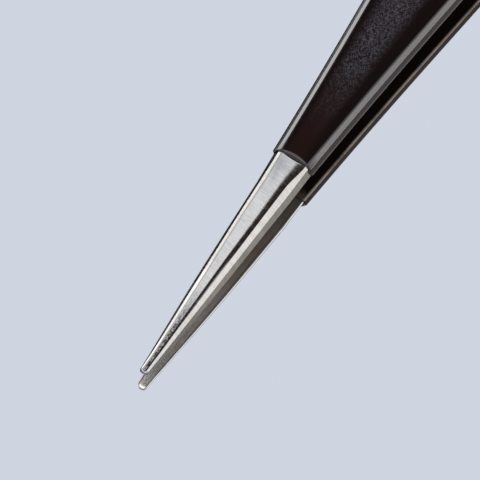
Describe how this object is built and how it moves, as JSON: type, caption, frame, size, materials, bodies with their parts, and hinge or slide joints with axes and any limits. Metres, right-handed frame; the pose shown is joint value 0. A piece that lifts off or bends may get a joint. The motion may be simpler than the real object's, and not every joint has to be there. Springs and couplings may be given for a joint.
{
  "type": "precision tweezers",
  "caption": "Slim pointed tweezers: sprung steel leaves welded together at the tail, with bare hollow-ground tips and a black satin coat over the finger grips.",
  "frame": {"origin": "the middle of the base of the bounding box, on the surface that the tool lies on", "axes": "+X along the tool towards the tips, +Y across the leaves, +Z the way the leaves open"},
  "size_m": [0.12, 0.0092, 0.0069],
  "materials": {
    "leaf_steel": "hollow ground and brushed across the leaf",
    "weld_steel": "fused steel, left dull",
    "black_coat": "satin, finely pebbled"
  },
  "bodies": {
    "tail": {"upper_tang": "leaf_steel", "lower_tang": "leaf_steel", "weld_spot_1": "weld_steel", "weld_spot_2": "weld_steel", "weld_spot_3": "weld_steel", "tail_coat": "black_coat"},
    "upper_arm": {"upper_blade": "leaf_steel", "upper_grip_coat": "black_coat"},
    "lower_arm": {"lower_blade": "leaf_steel", "lower_grip_coat": "black_coat"}
  },
  "joints": [
    {"name": "upper_flex", "type": "hinge", "parent": "tail", "child": "upper_arm", "pos_m": [-0.04002, 0, 0.00419], "axis": [0, -1, 0], "range_deg": [-0.45, 2.2], "stiffness_Nm_per_rad": 1.6, "springref_deg": 2.2},
    {"name": "lower_flex", "type": "hinge", "parent": "tail", "child": "lower_arm", "pos_m": [-0.04002, 0, 0.00272], "axis": [0, 1, 0], "range_deg": [-0.45, 2.2], "stiffness_Nm_per_rad": 1.6, "springref_deg": 2.2}
  ],
  "couplings": [
    {"joint": "lower_flex", "follows": "upper_flex", "ratio": 1}
  ]
}
